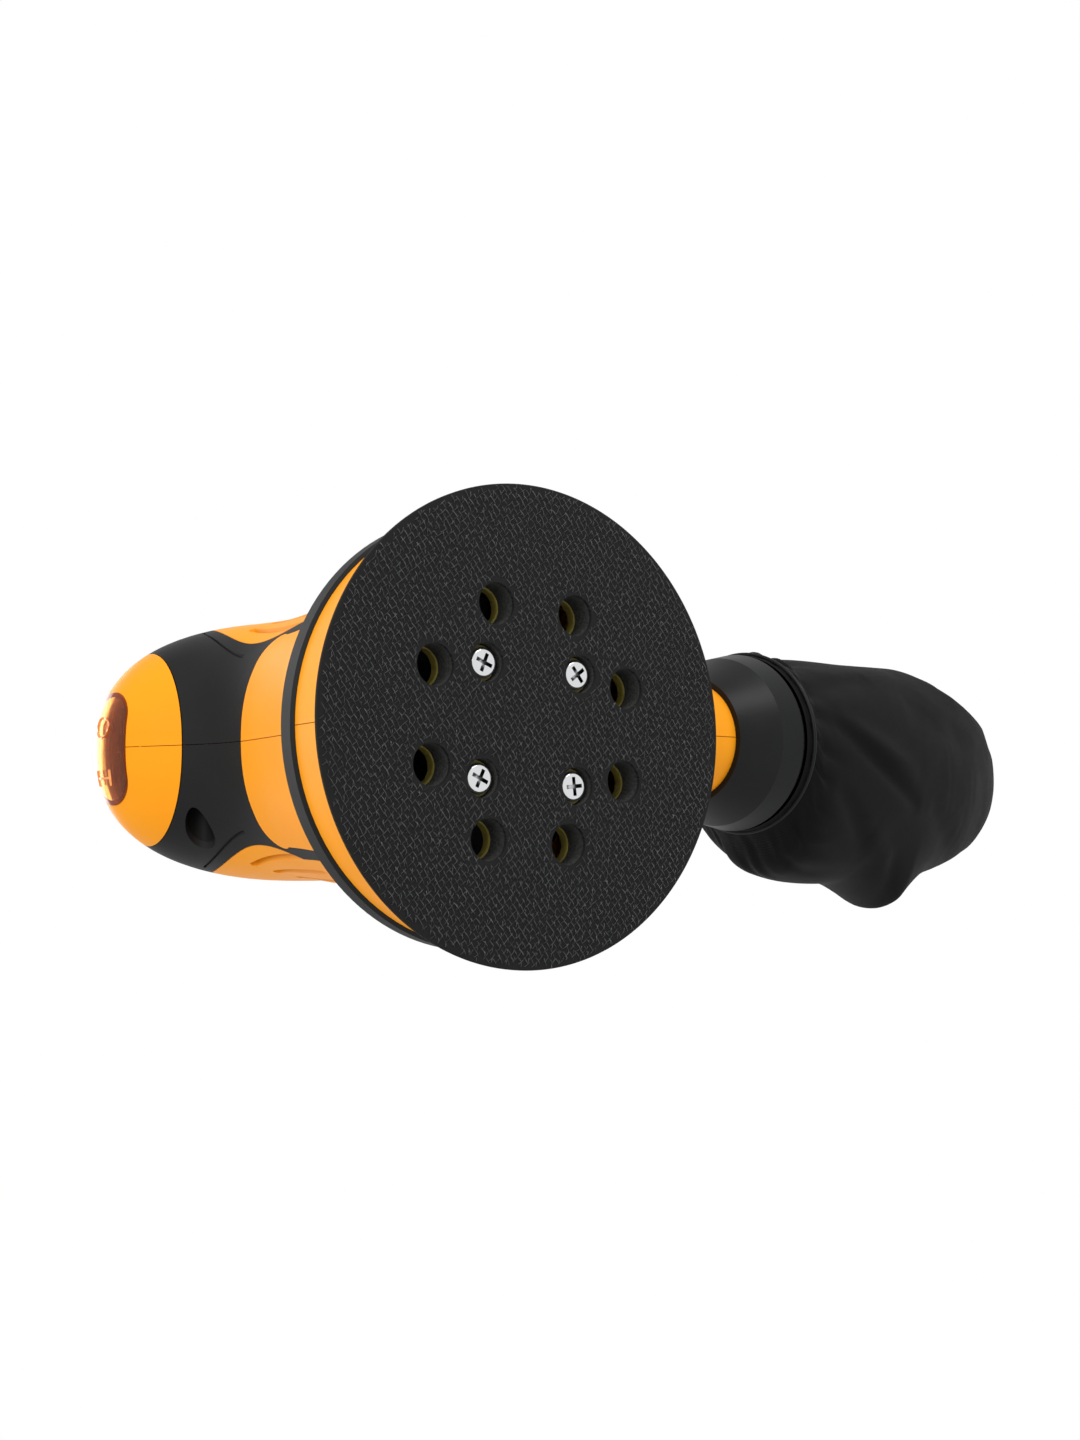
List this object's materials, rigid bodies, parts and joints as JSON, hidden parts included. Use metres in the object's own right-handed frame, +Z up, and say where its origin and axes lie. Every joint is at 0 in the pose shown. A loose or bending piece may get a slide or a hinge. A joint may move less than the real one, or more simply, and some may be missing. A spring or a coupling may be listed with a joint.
{
  "type": "random orbital palm sander",
  "caption": "Palm-grip random orbital sander with a round hook-faced pad, dust port, cone collar and cloth dust bag.",
  "frame": {"origin": "on the plane of the sanding pad's face, on the motor's axis; the pad's own centre is 1.25 mm towards +X", "axes": "+Z up along the motor shaft, +X towards the switch end, +Y to the left of the tool; the dust bag is at -X"},
  "size_m": [0.3198, 0.125, 0.1507],
  "materials": {
    "hook": "matte knitted hook pile",
    "foam": "matte closed-cell foam",
    "plate": "satin glass-filled plastic",
    "zinc": "bright zinc plate",
    "steel": "ground steel",
    "casting": "zinc die casting",
    "orange": "fine moulded texture, satin",
    "black_rubber": "soft matte overmould",
    "black_plastic": "satin black plastic",
    "fan_plastic": "glass-filled nylon",
    "lamination": "laminated electrical steel",
    "copper": "enamelled copper wire",
    "brass": "bright brass",
    "carbon": "pressed carbon",
    "amber": "translucent amber rubber",
    "bag": "smooth woven polyester"
  },
  "bodies": {
    "housing": {"lower_bearing_outer_ring": "steel", "upper_bearing_outer_ring": "steel", "stator_core": "lamination", "field_windings": "copper", "carbon_brush_left": "carbon", "brush_holder_left": "brass", "brush_spring_left": "steel", "carbon_brush_right": "carbon", "brush_holder_right": "brass", "brush_spring_right": "steel", "left_housing": "orange", "left_grip": "black_rubber", "right_housing": "orange", "right_grip": "black_rubber", "housing_screws": "zinc", "motor_endplate": "black_plastic", "upper_bracket": "black_plastic", "bumper_ring": "black_rubber", "pad_brake": "black_rubber", "switch_cover": "amber", "switch_body": "black_plastic", "switch_terminals": "brass", "cord_bush": "black_rubber", "cord_clamp": "black_plastic", "clamp_screws": "zinc"},
    "pad": {"hook_face": "hook", "foam_pad": "foam", "backing_plate": "plate", "pad_screws": "zinc", "pad_hub": "black_plastic", "bearing_clip": "steel", "pad_bearing_outer_ring": "steel"},
    "rotor": {"pad_bearing_inner_ring": "steel", "pad_bearing_balls": "steel", "eccentric": "steel", "journal_washer": "steel", "journal_screw": "zinc", "counterweight": "casting", "fan": "fan_plastic", "motor_shaft": "steel", "armature_core": "lamination", "armature_windings": "copper", "commutator": "brass", "lower_bearing_inner_ring": "steel", "lower_bearing_balls": "steel", "upper_bearing_inner_ring": "steel", "upper_bearing_balls": "steel"},
    "rocker": {"switch_rocker": "black_plastic"},
    "dust_box": {"dust_collar": "black_plastic", "bag_ring": "black_plastic", "dust_bag": "bag"}
  },
  "joints": [
    {"name": "rotor_spin", "type": "hinge", "parent": "housing", "child": "rotor", "pos_m": [0, 0, 0.08], "axis": [0, 0, 1], "continuous": true},
    {"name": "pad_spin", "type": "hinge", "parent": "rotor", "child": "pad", "pos_m": [0.00125, 0, 0.02], "axis": [0, 0, 1], "continuous": true},
    {"name": "switch_rock", "type": "hinge", "parent": "housing", "child": "rocker", "pos_m": [0.05634, 0, 0.12628], "axis": [0.2419, 0, 0.9703], "range_deg": [-16, 0]},
    {"name": "bag_pull", "type": "slide", "parent": "housing", "child": "dust_box", "axis": [-0.9848, 0, 0.1736], "range_m": [0, 0.03]}
  ]
}
